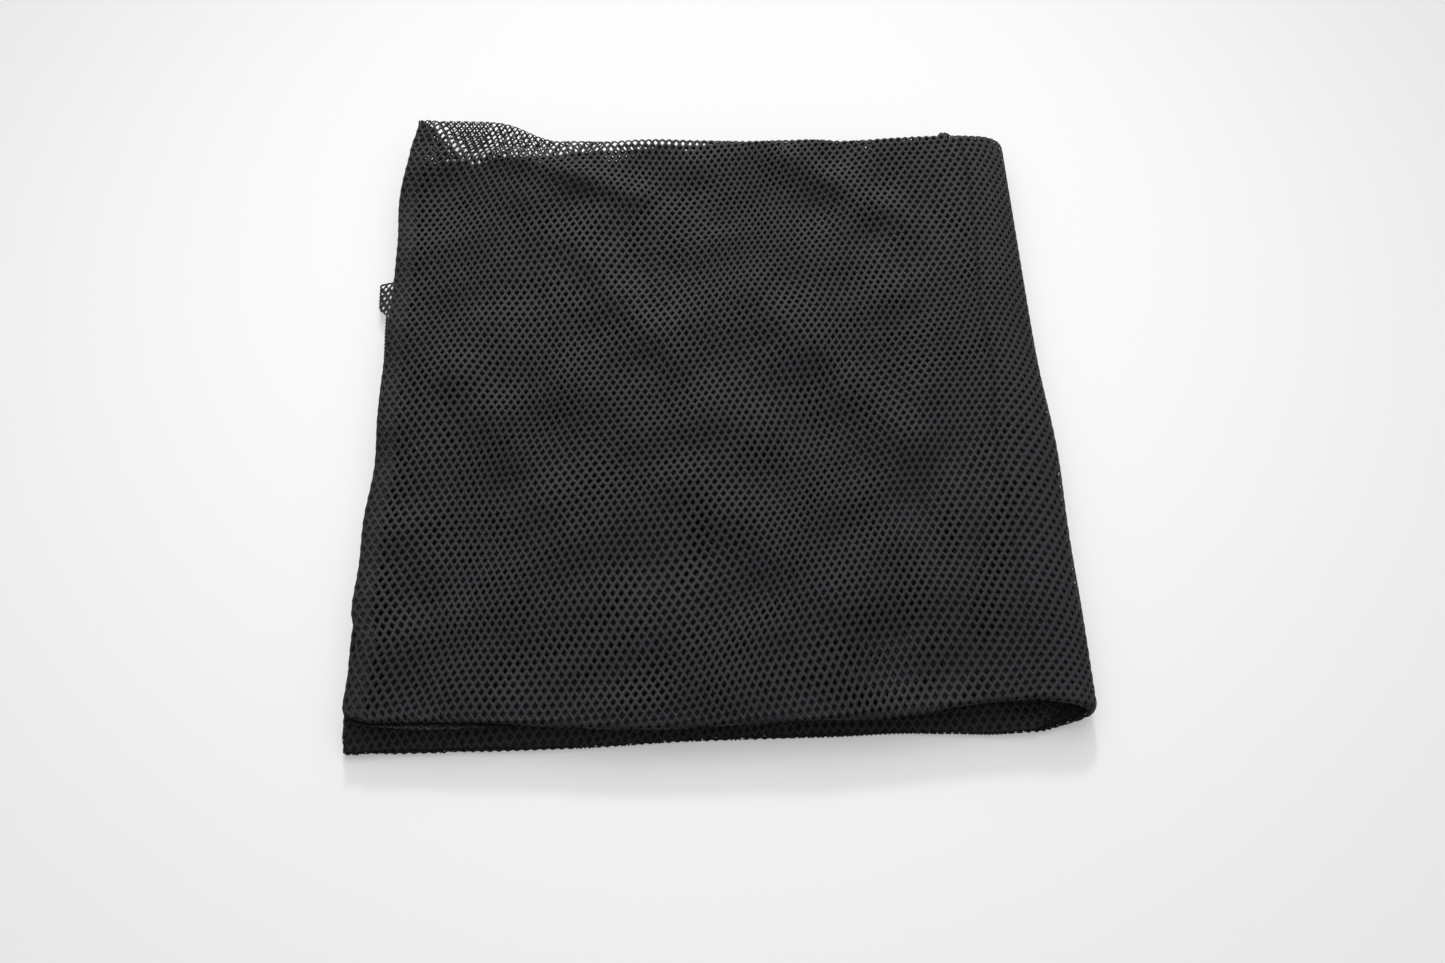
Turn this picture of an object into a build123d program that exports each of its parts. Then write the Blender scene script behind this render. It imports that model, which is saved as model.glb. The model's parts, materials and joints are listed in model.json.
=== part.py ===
from build123d import *
import os

# A flat mesh laundry bag, 610 x 915 mm, folded in thirds along its length and then in half
# about a book fold on the right. Millimetres. +X right, +Y to the back, +Z up. The origin is
# the middle of the pack's footprint, on the surface that it lies on.

# Driving dimensions
PACK_WIDTH = 308.0        # from the side seams on the left to the book fold on the right
LEAF_DEPTH = 310.0        # each half, from its front fold to its back fold
HALF_SHIFT = 8.0          # the upper half lies this much further back than the lower half
PLY_THICKNESS = 0.8       # one ply of mesh, with its loft
PLY_PITCH = 1.6           # from one ply to the next
PLY_COUNT = 6             # plies in each half
FIRST_PLY = 0.75          # from the plane between the halves to the innermost ply
HALF_GAP = 0.3            # clear space between the two halves
SEAM_WIDTH = 6.5          # width of the seam allowance, turned in between the panels
SEAM_THICKNESS = 0.4      # seam allowance, pressed flat
BEAD_WIDTH = 1.2          # overlock thread that wraps the allowance's edge
BEAD_THICKNESS = 0.7
TAB_SHOW = 7.5            # a stretch of allowance that has turned out past the left edge
TAB_FRONT = 24.0          # where that stretch starts, at nothing
TAB_FULL = 53.0           # where it stands out in full
TAB_BACK = 74.0           # where it ends, cut square
TAB_PLY = 1.5             # it lies with the mouth third of the lower half
HEM_DEPTH = 25.0          # drawcord channel at the mouth
HEM_THICKNESS = 1.1       # channel pressed flat, two walls and the slot between them
HEM_WALL = 0.45
MOUTH_SETBACK = 1.0       # the mouth's edge lies this far behind the front folds
BASE_SETBACK = 2.0        # the base edge lies this far in front of the back folds' centre
STITCH_DIAMETER = 0.4
STITCH_INSET = 2.0        # hem stitching, from the channel's inner edge

# The plies that each panel runs through, counted from the innermost ply of a half.
# The outer panel wraps the inner one at every turn.
MOUTH_PLY = {"front_panel": 1, "back_panel": 2}
MIDDLE_PLY = {"front_panel": 6, "back_panel": 5}
BASE_PLY = {"front_panel": 3, "back_panel": 4}
SEAM_PLIES = (1.5, 5.5, 3.5)   # mouth, middle and base third, each between two panel plies

# Derived places
HALF_HEIGHT = FIRST_PLY + (PLY_COUNT - 1) * PLY_PITCH + PLY_THICKNESS / 2
MID_Z = HALF_HEIGHT
TOTAL_DEPTH = LEAF_DEPTH + HALF_SHIFT
APEX_X = (PACK_WIDTH + TAB_SHOW) / 2          # the book fold's outermost line
SPINE_X = APEX_X - HALF_HEIGHT                # where the plies start to turn round the fold
PANEL_LEFT_X = APEX_X - PACK_WIDTH
SEAM_X = PANEL_LEFT_X + SEAM_WIDTH            # the allowance's inner edge
BACK_TURN_RADIUS = (MIDDLE_PLY["front_panel"] - MOUTH_PLY["front_panel"]) * PLY_PITCH / 2
FRONT_TURN_RADIUS = (MIDDLE_PLY["front_panel"] - BASE_PLY["front_panel"]) * PLY_PITCH / 2


class Half:
    """One half of the pack: which way its plies stack, and where its folds lie."""

    def __init__(self, name, side):
        self.name = name
        self.side = side
        front = -TOTAL_DEPTH / 2 if side < 0 else -TOTAL_DEPTH / 2 + HALF_SHIFT
        back = front + LEAF_DEPTH
        self.front_turn_y = front + FRONT_TURN_RADIUS + PLY_THICKNESS / 2
        self.back_turn_y = back - BACK_TURN_RADIUS - PLY_THICKNESS / 2
        self.mouth_y = front + MOUTH_SETBACK
        self.hem_y = self.mouth_y + HEM_DEPTH
        self.base_y = self.back_turn_y - BASE_SETBACK
        self.seam_end_y = self.base_y - SEAM_WIDTH - 2 * BEAD_WIDTH

    def z(self, ply):
        return MID_Z + self.side * (FIRST_PLY + PLY_PITCH * (ply - 1))


def block(x0, x1, y0, y1, z0, z1):
    """A box between two corners."""
    size = Box(x1 - x0, y1 - y0, z1 - z0)
    return Pos((x0 + x1) / 2, (y0 + y1) / 2, (z0 + z1) / 2) * size


def flat_run(half, ply, x0, x1, y0, y1, thickness):
    z = half.z(ply)
    return block(x0, x1, y0, y1, z - thickness / 2, z + thickness / 2)


def half_ring(x0, x1, y, z, radius, thickness, way):
    """A half tube along X that turns a run from one ply to another, towards the front or back."""
    outer = radius + thickness / 2
    inner = radius - thickness / 2
    width = x1 - x0
    place = Pos((x0 + x1) / 2, y, z)
    ring = place * Rot(0, 90, 0) * (Cylinder(outer, width) - Cylinder(inner, width))
    reach = way * 2 * outer
    y0, y1 = sorted((y, y + reach))
    return ring & block(x0, x1, y0, y1, z - 2 * outer, z + 2 * outer)


def folded_run(half, plies, x0, x1, mouth_y, base_y, thickness):
    """Cloth or seam that runs mouth third, back turn, middle third, front turn, base third."""
    mouth, middle, base = plies
    back_z = (half.z(mouth) + half.z(middle)) / 2
    front_z = (half.z(middle) + half.z(base)) / 2
    back_radius = abs(half.z(middle) - half.z(mouth)) / 2
    front_radius = abs(half.z(middle) - half.z(base)) / 2
    run = flat_run(half, mouth, x0, x1, mouth_y, half.back_turn_y, thickness)
    run += half_ring(x0, x1, half.back_turn_y, back_z, back_radius, thickness, 1)
    run += flat_run(half, middle, x0, x1, half.front_turn_y, half.back_turn_y, thickness)
    run += half_ring(x0, x1, half.front_turn_y, front_z, front_radius, thickness, -1)
    run += flat_run(half, base, x0, x1, half.front_turn_y, base_y, thickness)
    return run


def spine_arc(half, ply, y0, y1):
    """A ply's quarter turn round the book fold, up to the clear space between the halves."""
    radius = abs(half.z(ply) - MID_Z)
    outer = radius + PLY_THICKNESS / 2
    inner = radius - PLY_THICKNESS / 2
    length = y1 - y0
    place = Pos(SPINE_X, (y0 + y1) / 2, MID_Z)
    ring = place * Rot(90, 0, 0) * (Cylinder(outer, length) - Cylinder(inner, length))
    near = MID_Z + half.side * HALF_GAP / 2
    far = MID_Z + half.side * 2 * outer
    z0, z1 = sorted((near, far))
    return ring & block(SPINE_X, SPINE_X + 2 * outer, y0, y1, z0, z1)


def panel(half, name):
    """One panel's share of a half: three plies, its two turns, and its turns round the fold."""
    plies = (MOUTH_PLY[name], MIDDLE_PLY[name], BASE_PLY[name])
    cloth = folded_run(half, plies, PANEL_LEFT_X, SPINE_X, half.hem_y, half.base_y, PLY_THICKNESS)
    starts = (half.hem_y, half.front_turn_y, half.front_turn_y)
    ends = (half.back_turn_y, half.back_turn_y, half.base_y)
    for ply, start, end in zip(plies, starts, ends):
        cloth += spine_arc(half, ply, start, end)
    return cloth


def mouth_hem(half, name):
    """The drawcord channel, turned in and pressed flat, open at its left end."""
    z = half.z(MOUTH_PLY[name])
    outer = block(PANEL_LEFT_X, SPINE_X, half.mouth_y, half.hem_y,
                  z - HEM_THICKNESS / 2, z + HEM_THICKNESS / 2)
    slot_height = HEM_THICKNESS - 2 * HEM_WALL
    slot = block(PANEL_LEFT_X, SPINE_X, half.mouth_y + HEM_WALL, half.hem_y - HEM_WALL,
                 z - slot_height / 2, z + slot_height / 2)
    return outer - slot


def hem_stitching(half):
    """Two rows of lockstitch, one on each panel's channel."""
    y = half.hem_y - STITCH_INSET
    x0 = SEAM_X + BEAD_WIDTH + STITCH_DIAMETER
    length = SPINE_X - x0
    rows = []
    for name in ("front_panel", "back_panel"):
        above = HEM_THICKNESS / 2 + STITCH_DIAMETER / 2
        z = half.z(MOUTH_PLY[name]) + half.side * above
        thread = Pos((x0 + SPINE_X) / 2, y, z) * Rot(0, 90, 0)
        rows.append(thread * Cylinder(STITCH_DIAMETER / 2, length))
    return Compound(children=rows)


def plate(points, z, thickness):
    """A flat plate with the given corners in X and Y."""
    return Pos(0, 0, z - thickness / 2) * extrude(make_face(Polyline(*points, close=True)),
                                                  amount=thickness)


def side_seam(half):
    """The panels' joined edges, turned in between their plies, as far as the base seam."""
    seam = folded_run(half, SEAM_PLIES, PANEL_LEFT_X, SEAM_X, half.hem_y, half.seam_end_y,
                      SEAM_THICKNESS)
    if half.side < 0:
        seam += plate(tab_outline(PANEL_LEFT_X - TAB_SHOW + BEAD_WIDTH), half.z(TAB_PLY),
                      SEAM_THICKNESS)
    return seam


def tab_outline(left_x):
    """The turned-out stretch of allowance, as wide as left_x makes it."""
    return [(PANEL_LEFT_X, TAB_FRONT), (PANEL_LEFT_X, TAB_BACK), (left_x, TAB_BACK),
            (left_x, TAB_FULL)]


def side_seam_thread(half):
    """The overlock thread along the side seam's inner edge, in two solids where it turns out."""
    bead = folded_run(half, SEAM_PLIES, SEAM_X, SEAM_X + BEAD_WIDTH, half.hem_y,
                      half.seam_end_y, BEAD_THICKNESS)
    if half.side > 0:
        return bead
    z = half.z(TAB_PLY)
    rim = plate(tab_outline(PANEL_LEFT_X - TAB_SHOW), z, BEAD_THICKNESS)
    cloth = plate(tab_outline(PANEL_LEFT_X - TAB_SHOW + BEAD_WIDTH), z, 2 * BEAD_THICKNESS)
    return Compound(children=[bead, rim - cloth])


def base_seam(half):
    """The panels' joined lower edges, turned in between the two base plies."""
    return flat_run(half, SEAM_PLIES[2], PANEL_LEFT_X, SPINE_X, half.base_y - SEAM_WIDTH,
                    half.base_y, SEAM_THICKNESS)


def base_seam_thread(half):
    """The overlock thread along the base seam's inner edge."""
    y1 = half.base_y - SEAM_WIDTH
    return flat_run(half, SEAM_PLIES[2], PANEL_LEFT_X, SPINE_X, y1 - BEAD_WIDTH, y1,
                    BEAD_THICKNESS)


def half_parts(half):
    return {
        "front_panel": panel(half, "front_panel"),
        "back_panel": panel(half, "back_panel"),
        "front_mouth_hem": mouth_hem(half, "front_panel"),
        "back_mouth_hem": mouth_hem(half, "back_panel"),
        "hem_stitching": hem_stitching(half),
        "side_seam": side_seam(half),
        "side_seam_thread": side_seam_thread(half),
        "base_seam": base_seam(half),
        "base_seam_thread": base_seam_thread(half),
    }


os.makedirs("parts", exist_ok=True)
for half in (Half("lower", -1), Half("upper", 1)):
    for piece, shape in half_parts(half).items():
        export_step(shape, f"parts/{piece}_{half.name}.step")
print(f"book fold axis: x {APEX_X:.2f}, z {MID_Z:.2f}; pack height {2 * HALF_HEIGHT:.2f}")
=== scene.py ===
import bpy
import json
import math
import numpy as np
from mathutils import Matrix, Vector


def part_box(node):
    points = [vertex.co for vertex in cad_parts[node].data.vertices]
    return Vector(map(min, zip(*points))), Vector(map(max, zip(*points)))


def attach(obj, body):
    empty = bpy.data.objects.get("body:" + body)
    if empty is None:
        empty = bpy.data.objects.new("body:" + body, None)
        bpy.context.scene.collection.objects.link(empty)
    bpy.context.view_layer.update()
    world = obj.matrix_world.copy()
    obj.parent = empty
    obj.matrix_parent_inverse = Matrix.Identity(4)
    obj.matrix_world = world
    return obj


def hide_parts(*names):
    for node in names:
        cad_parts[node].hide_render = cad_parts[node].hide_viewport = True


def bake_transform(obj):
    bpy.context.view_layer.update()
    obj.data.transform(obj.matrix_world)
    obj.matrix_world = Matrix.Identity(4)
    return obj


# A mesh laundry bag, folded in thirds and then in half. Every ply is a real perforated sheet:
# a lattice of holes on the flat cloth, carried through the folds by one mapping.
# Lengths are millimetres, in the pack's own frame, whose middle is half way across the cloth.
# They become metres, in the frame's own coordinates, where a mesh is made.

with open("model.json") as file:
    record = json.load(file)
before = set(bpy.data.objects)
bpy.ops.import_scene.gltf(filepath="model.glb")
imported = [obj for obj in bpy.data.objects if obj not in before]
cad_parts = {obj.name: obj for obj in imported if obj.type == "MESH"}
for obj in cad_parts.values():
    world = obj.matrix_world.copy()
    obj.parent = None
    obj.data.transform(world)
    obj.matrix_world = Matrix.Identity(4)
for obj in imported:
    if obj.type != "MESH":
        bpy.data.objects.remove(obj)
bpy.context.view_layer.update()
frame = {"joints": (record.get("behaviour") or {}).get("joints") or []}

MM = 0.001
HALVES = ("lower", "upper")
PARTS = (*HALVES, "book_fold")
BODY = {"lower": "lower_half", "upper": "upper_half"}
PANELS = ("front_panel", "back_panel")
OUTWARD = {"front_panel": -1.0, "back_panel": 1.0}   # out of the bag, along a sheet's normal
MOUTH, MIDDLE, BASE, HEM = "mouth", "middle", "base", "hem"

fold_joint = frame["joints"][0]
CAD_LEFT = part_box("front_panel_upper")[0][0] / MM
CAD_APEX = fold_joint["pos_m"][0] / MM
PACK_X = (CAD_LEFT + CAD_APEX) / 2
MID_Z = fold_joint["pos_m"][2] / MM
APEX_X = CAD_APEX - PACK_X
EDGE_INSET = 0.4          # the cloth's open edge lies this far inside the CAD's
LEFT_X = CAD_LEFT - PACK_X + EDGE_INSET

# The knit: diamond holes in rows, every other row half a hole along
HOLE_PITCH = 3.6          # along a row
ROW_PITCH = 3.1           # from row to row
CELL_NECK = 0.24          # half the upright side of a cell, which is otherwise a diamond
HOLE_SHARE = 0.53         # hole size, as a share of its cell
HOLE_ROUND = 0.25         # 0 keeps the hole's shape like its cell's, 1 makes it a circle
HOLE_SLANT = -0.07        # makes the strands of one diagonal thicker than the other's
SKEW = 0.085              # how much the knit's rows run off the straight of the bag
CROWN = 0.27              # how far a strand's crown stands out of the sheet
RIM = -0.24               # how far a hole's rim lies below it
SIZE_JITTER = 0.08        # how much the holes differ at random, as a share of their size
RIM_JITTER = 0.09         # how far a whole rim wanders
CROWN_JITTER = 0.07       # how far a crown's points wander
YARN = 0.16               # radius of a sewing or overlock thread

# The stack of plies, numbered from 1 on the inside of a half to 6 on the outside
PLY = {
    "front_panel": {MOUTH: 1, HEM: 1, MIDDLE: 6, BASE: 3},
    "back_panel": {MOUTH: 2, HEM: 2, MIDDLE: 5, BASE: 4},
    "seam": {MOUTH: 1.5, HEM: 1.5, MIDDLE: 5.5, BASE: 3.5},
}
OUTER_PLY = 6
FLOOR_CLEAR = 0.5         # middle of the lowest ply above the floor
TIGHT_PITCH = 0.9         # ply to ply at the book fold
LOOSE_PITCH = 1.2         # ply to ply at the open edge
UPPER_TOP_LEFT = 14.2     # middle of the top ply at the open edge
HEM_DEPTH = 25.0
HEM_START = 22.0          # the hems' pieces begin this far before the cloth turns in
HEM_RISE = {"front_panel": 0.34, "back_panel": -0.34, "seam": 0.0}
HEM_RADIUS = 0.5
BASE_LENGTH = 434.0       # from the middle of the middle third, less the front fold's turn
FRONT_CUT = -155.0        # the lengths at which the thirds' pieces meet, near the folds
BACK_CUT = {"front_panel": 153.0, "back_panel": 148.0}
TURN_PITCH = 1.0          # how far a fold bulges, for each ply that it wraps
INSIDE = {"front_panel": 0.0, "back_panel": 1.0, "seam": 0.5}   # plies inside the outer panel

# The book fold: the plies' half turn on the right
SPINE_DEPTH = 24.0        # the turn begins this far before the CAD's apex
SPINE_PAST = 1.2          # the outer ply reaches this far past it
SPINE_X = APEX_X - SPINE_DEPTH
SPINE_APEX = APEX_X + SPINE_PAST
SPINE_NEST = 0.9          # each inner ply turns this much sooner
SPINE_POWER = 2.3         # 2 is an ellipse, more is squarer
SHIFT = 4.5               # the upper half lies this far back of the middle, the lower forward

# The seams: the panels' edges rolled together, with their allowance turned in
ROLL_COLUMNS = 2          # holes around the roll
ROLL_WIDTH = 0.95         # half the roll's width
ROLL_HEIGHT = 0.8         # half its height
ROLL_CENTRE = 0.4         # from the cloth's edge
ROLL_CROWN = 0.16         # how far its strands stand out
ROLL_RIM = -0.1           # how far its holes' rims lie below
CORE_DEPTH = 0.35         # the dark core lies this far inside the roll
CORE_SIDES = 8
ALLOWANCE_COLUMNS = 2
ALLOWANCE_RELIEF = 0.1    # its crowns and rims, out of its sheet to either side
ALLOWANCE_LIGHT = 0.42    # how much light reaches it between the panels
ALLOWANCE_EDGE = ROLL_CENTRE + ALLOWANCE_COLUMNS * HOLE_PITCH
SIDE_SEAM_SHORT = 1.0     # a side seam stops this short of its ends, and its thread of it
BASE_SEAM_SHORT = 2.0     # the base seam stops this short of the open edges

# Threads and stitches
OVERLOCK_WAVE = 2.7       # from one loop of the overlocking to the next
OVERLOCK_STEP = 0.45      # between points of its path
OVERLOCK_BEFORE = 3.2     # how far it reaches into the cloth, from the raw edge
OVERLOCK_PAST = 0.5       # how far it reaches past the raw edge
OVERLOCK_RISE = 0.26      # out of the cloth, to either side
STITCH_LENGTH = 2.5
STITCH_PITCH = 3.2
STITCH_SUNK = 0.12        # a stitch's ends lie this far below the crowns
STITCH_RISE = 0.3         # its middle stands this far over its ends
STITCH_SHORT = 3.0        # the rows stop this short of the open edges
STITCH_FROM_MOUTH = 23.0

# The tab of seam allowance that shows at the lower half's open edge
TAB_REACH = 8.8
TAB_LEAN = 0.08           # how much less it reaches out at the front, for each millimetre
TAB_RIM = 3.8             # the narrow strip that carries on in front of the tab
TAB_FRONT, TAB_FULL, TAB_BACK = 20.0, 60.0, 74.0
TAB_TAPER = 6.0
TAB_PLY = 1.5
TAB_DROOP = 1.9
TAB_INSET = 0.2           # its knit stops this far inside its edge
TAB_SCALE = 0.92          # its knit is drawn together by its overlocking
TAB_HOLES = 0.42          # hole size, as a share of its cell
TAB_COLUMNS = (-1, 3)
TAB_CROWN = 0.2
TAB_HOLLOW = -0.15        # how far its holes' rims lie below its sheet
# painted shade on the tab: its crowns' attribute is scaled down by this
TAB_LIGHT = 0.8
TAB_THREAD = 0.48         # radius of the bundled thread along its edge
TAB_THREAD_WIDTH = 0.8    # the thread's zigzag, inwards from the edge
TAB_THREAD_RISE = 0.3     # and out of the tab, to either side
TAB_THREAD_TURN = 1.15    # radians of the zigzag from point to point
TAB_THREAD_POINTS = (150, 20)   # along the side and across the back end

FLAT_COLUMNS = round((SPINE_X - LEFT_X) / HOLE_PITCH)
FLAT_WIDTH = FLAT_COLUMNS * HOLE_PITCH


def smooth(t):
    """From 0 to 1 as t does, starting and ending gently, and kept there outside that range."""
    t = np.clip(t, 0.0, 1.0)
    return t * t * (3 - 2 * t)


def bump(x, centre, width):
    """1 at the centre, fading to nothing on both sides."""
    return np.exp(-(((x - centre) / width) ** 2))


def lerp(a, b, t):
    """The value a share t of the way from a to b."""
    return a + (b - a) * t


# Where the folds lie, as functions of x

def front_fold(half, x):
    """The front fold, or lip: the upper half's sags forward and leaves the lower's showing."""
    if half == "lower":
        straight = -159.0 - 1.6 * smooth((40 - x) / 160) + 1.6 * smooth((x - 90) / 50)
        hollow = 1.2 * smooth((x + 60) / 50) * smooth((118 - x) / 22) + 0.9 * bump(x, 76, 20)
        return straight + hollow
    sag = -5.6 * bump(x, -25, 62) - 2.6 * bump(x, 62, 40)
    corner = 2.6 * smooth((-142 - x) / 12) ** 2
    return -150.2 + sag + 3.2 * smooth((x - 70) / 50) + corner


def flap_share(x):
    """How much of the back flap there is: all of it at the left, none past its end."""
    return 1 - smooth((x + 119) / 46)


def outer_back_fold(half, x):
    """The outer panel's back fold: at the left it stands out past the other plies."""
    if half == "lower":
        return 149.5 + 5.2 * smooth((x + 60) / 60)
    flap = 14.5 * flap_share(x)
    sag = 4.1 * smooth((x + 6) / 42) + 2.0 * bump(x, 92, 16)
    pucker = 2.2 * smooth((x - 120.5) / 1.5) * smooth((127.5 - x) / 2.5)
    return 157.0 + flap - sag + pucker


def inner_back_fold(half, x):
    """The back fold of the plies inside the outer panel. A corner of it reaches the flap's end."""
    outer = outer_back_fold(half, x)
    if half == "lower":
        return outer
    along = np.clip((x + 122) / 200, 0, 1)
    inside = np.minimum(143.5 + 13.0 * along * (2 - along), outer - 0.3)
    corner = np.clip((-122 - x) / 29, 0, 1)
    return lerp(inside, outer, corner)


def back_fold(half, panel, x):
    """A panel's own back fold."""
    fold = outer_back_fold if panel == "front_panel" else inner_back_fold
    return fold(half, x)


def mouth_edge(half, x, panel):
    """The mouth's front edge. At the left the upper half's shows past its front fold."""
    fold = front_fold(half, x)
    inset = 1.5 * INSIDE[panel]
    if half == "lower":
        return fold + 0.6 + inset + 0.4 * np.sin(x / 23.0)
    shows = 3.7 * bump(x, -118, 34)
    return fold + 0.8 - shows + inset + 2.2 * smooth((x + 88) / 30)


def left_edge_shift(half, y, ply):
    """How far the open left edge wanders from a straight line."""
    wander = 1.4 * bump(y, -38, 34) - 1.0 * bump(y, -112, 22) + 1.6 * smooth((y - 100) / 45)
    if half == "lower":
        return wander - 0.8 + 2.0 * smooth((y - 130) / 20)
    wander = wander - 2.8 * bump(y, 122, 20) - 1.5 * bump(y, -58, 16)
    wander = wander + 3.2 * bump(y, -115, 8) + 1.4 * bump(y, -128, 14)
    back_corner = 2.4 * smooth((y - 150) / 18)
    front_corner = 4.0 * smooth((-142 - y) / 10) ** 2 * smooth((ply - 2) / 1.5)
    return wander + back_corner + front_corner


class Waves:
    """A smooth random field: a few sine waves with seeded directions and phases."""

    def __init__(self, seed, count, shortest, longest):
        draw = np.random.default_rng(seed)
        length = shortest * (longest / shortest) ** draw.random(count)
        angle = draw.random(count) * math.pi
        self.kx = 2 * math.pi * np.cos(angle) / length
        self.ky = 2 * math.pi * np.sin(angle) / length
        self.phase = draw.random(count) * 2 * math.pi
        self.weight = length / length.max() / math.sqrt(count)

    def __call__(self, x, y):
        total = np.zeros_like(x)
        for kx, ky, phase, weight in zip(self.kx, self.ky, self.phase, self.weight):
            total += weight * np.sin(kx * x + ky * y + phase)
        return total


swell = Waves(seed=11, count=9, shortest=70, longest=190)
ripple = Waves(seed=5, count=16, shortest=24, longest=60)
pull_along = {panel: Waves(seed, 9, 60, 210) for panel, seed in zip(PLY, (21, 22, 23))}
pull_across = {panel: Waves(seed, 9, 60, 210) for panel, seed in zip(PLY, (31, 32, 33))}
PULL = 4.2                # how far the cloth is pulled out of square
PULL_FADE = 42            # the pulls die away over this distance from the open edges
EDGE_REST = 0.45          # the knit's points are drawn in to this distance from the open edges
PULL_SPAN = 2 * FLAT_WIDTH + 30   # the cloth's width where the pulls are drawn


def ridge(x, y, from_point, to_point, width, height):
    """A soft crease between two points, fading at both ends."""
    (x0, y0), (x1, y1) = from_point, to_point
    length = math.hypot(x1 - x0, y1 - y0)
    along = ((x - x0) * (x1 - x0) + (y - y0) * (y1 - y0)) / length
    across = ((x - x0) * (y1 - y0) - (y - y0) * (x1 - x0)) / length
    fade = smooth((along + width) / (2 * width)) * smooth((length - along + width) / (2 * width))
    return height * fade * np.exp(-((across / width) ** 2))


# Creases in the top: from, to, width and height
CREASES = (
    ((-112, 150), (-30, 116), 8, 2.5),
    ((-70, 95), (-12, 15), 10, 2.3),
    ((20, 62), (95, -35), 11, 2.0),
    ((-122, 25), (-60, -75), 11, 1.4),
    ((38, 142), (112, 88), 9, 1.4),
    ((-20, -40), (60, -110), 12, 1.3),
    ((-140, -60), (-95, -130), 9, 1.1),
)


def relief(x, y):
    """The soft unevenness of the top surface."""
    z = 1.4 * swell(x, y) + 1.1 * ripple(x, y)
    for from_point, to_point, width, height in CREASES:
        z = z + ridge(x, y, from_point, to_point, width, height)
    return z * smooth((SPINE_X - 2 - x) / 34) * smooth((y + 160) / 26)


def ply_height(half, ply, x, y):
    """The height of a ply's middle surface, with the plies kept in order."""
    pitch = lerp(TIGHT_PITCH, LOOSE_PITCH, smooth((SPINE_X - 4 - x) / 110))
    wave = relief(x, y)
    if half == "lower":
        share = 0.35 * (OUTER_PLY - ply) / (OUTER_PLY - 1)
        flattened = 1 - 0.42 * smooth((front_fold(half, x) + 13 - y) / 13) * smooth((138 - x) / 30)
        return FLOOR_CLEAR + ((OUTER_PLY - ply) * pitch + share * wave) * flattened
    top = lerp(2 * MID_Z - FLOOR_CLEAR, UPPER_TOP_LEFT, smooth((SPINE_X - 4 - x) / 150))
    top = top - 2.6 * smooth((x - 30) / 55) * smooth((-92 - y) / 50)
    share = 0.35 + 0.65 * (ply - 1) / (OUTER_PLY - 1)
    return top - (OUTER_PLY - ply) * pitch + share * wave


def shift_of(half):
    """How far back of the middle a half lies."""
    return SHIFT if half == "upper" else -SHIFT


def turn_radius(panel, third):
    """The radius of a panel's fold from its middle third into another."""
    return abs(PLY[panel][MIDDLE] - PLY[panel][third]) / 2 * TURN_PITCH


def turned_back(y, ply, over, fold, radius, way, first_ply, rise):
    """Turns back the cloth that runs on over a fold, into another ply.
    way is 1 for a fold at the back and -1 at the front. Also gives how far it lies past the turn."""
    angle = np.clip(over / radius, 0, math.pi)
    y = np.where(over > 0, fold + way * radius * np.sin(angle), y)
    ply = np.where(over > 0, first_ply + rise * (1 - np.cos(angle)) / 2, ply)
    past = over - math.pi * radius
    return np.where(past > 0, fold - way * past, y), ply, past


def folded(half, panel, x, s):
    """Follows the cloth from the middle of the middle third: y and ply number at length s."""
    shift = shift_of(half)
    plies = PLY[panel]
    back_radius = turn_radius(panel, MOUTH)
    front_radius = turn_radius(panel, BASE)
    inside = INSIDE[panel] * TURN_PITCH
    front = front_fold(half, x) + front_radius + inside - shift
    back = back_fold(half, panel, x) - back_radius - inside - shift
    mouth = mouth_edge(half, x, panel) + HEM_RADIUS - shift

    y = np.array(s, float)
    ply = np.full_like(y, plies[MIDDLE])
    y, ply, _ = turned_back(y, ply, front - s, front, front_radius, -1,
                            plies[MIDDLE], plies[BASE] - plies[MIDDLE])
    y, ply, past = turned_back(y, ply, s - back, back, back_radius, 1,
                               plies[MIDDLE], plies[MOUTH] - plies[MIDDLE])
    over = np.where(past > 0, mouth - y, -1.0)
    y, ply, _ = turned_back(y, ply, over, mouth, HEM_RADIUS, -1, plies[MOUTH], HEM_RISE[panel])
    return y + shift, ply


def straight_x(from_edge):
    """How far across the pack a place lies, by its length of cloth from the open edge."""
    return LEFT_X + np.minimum(from_edge, FLAT_WIDTH) * (SPINE_X - LEFT_X) / FLAT_WIDTH


def on_half(half, panel, u, s):
    """A point of the flat cloth, on one half of the pack. u runs from the open edge."""
    even_x = straight_x(u)
    y, ply = folded(half, panel, even_x, s)
    reach = FLAT_WIDTH * 0.3
    x = even_x + left_edge_shift(half, y, ply) * smooth((reach - u) / reach)
    if half == "upper":
        # The flap's plies lie together past the inner plies' fold, and so do those at the lip
        lip = front_fold(half, even_x)
        past_inner = y - inner_back_fold(half, even_x) - 1.0
        ply = lerp(ply, 4.4, 0.86 * smooth(past_inner / 8))
        near_lip = smooth((lip + 12 - y) / 12) * smooth((ply - 2.4) / 0.6)
        ply = lerp(ply, 5.0, 0.4 * near_lip * smooth((100 - even_x) / 60))
        # At the left the mouth's edge lies close under the lip, and curls up past it
        at_left = smooth((2.8 - ply) / 0.4) * smooth((-60 - even_x) / 40)
        to_lip = y - lip
        ply = lerp(ply, 3.2, 0.6 * at_left * smooth((10 - to_lip) / 10))
        ply = ply + 1.6 * at_left * smooth((1.0 - to_lip) / 2.6)
    # At the open edge two panels come together in their seam
    seam_ply = np.round((ply - 1.5) / 2) * 2 + 1.5
    ply = lerp(lerp(ply, seam_ply, 0.92), ply, smooth(u / 2.6))
    return x, y, ply_height(half, ply, x, y), ply


def spine_rise(ply):
    """Half the height of a ply's turn round the book fold."""
    return MID_Z - FLOOR_CLEAR - (OUTER_PLY - ply) * TIGHT_PITCH


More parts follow.
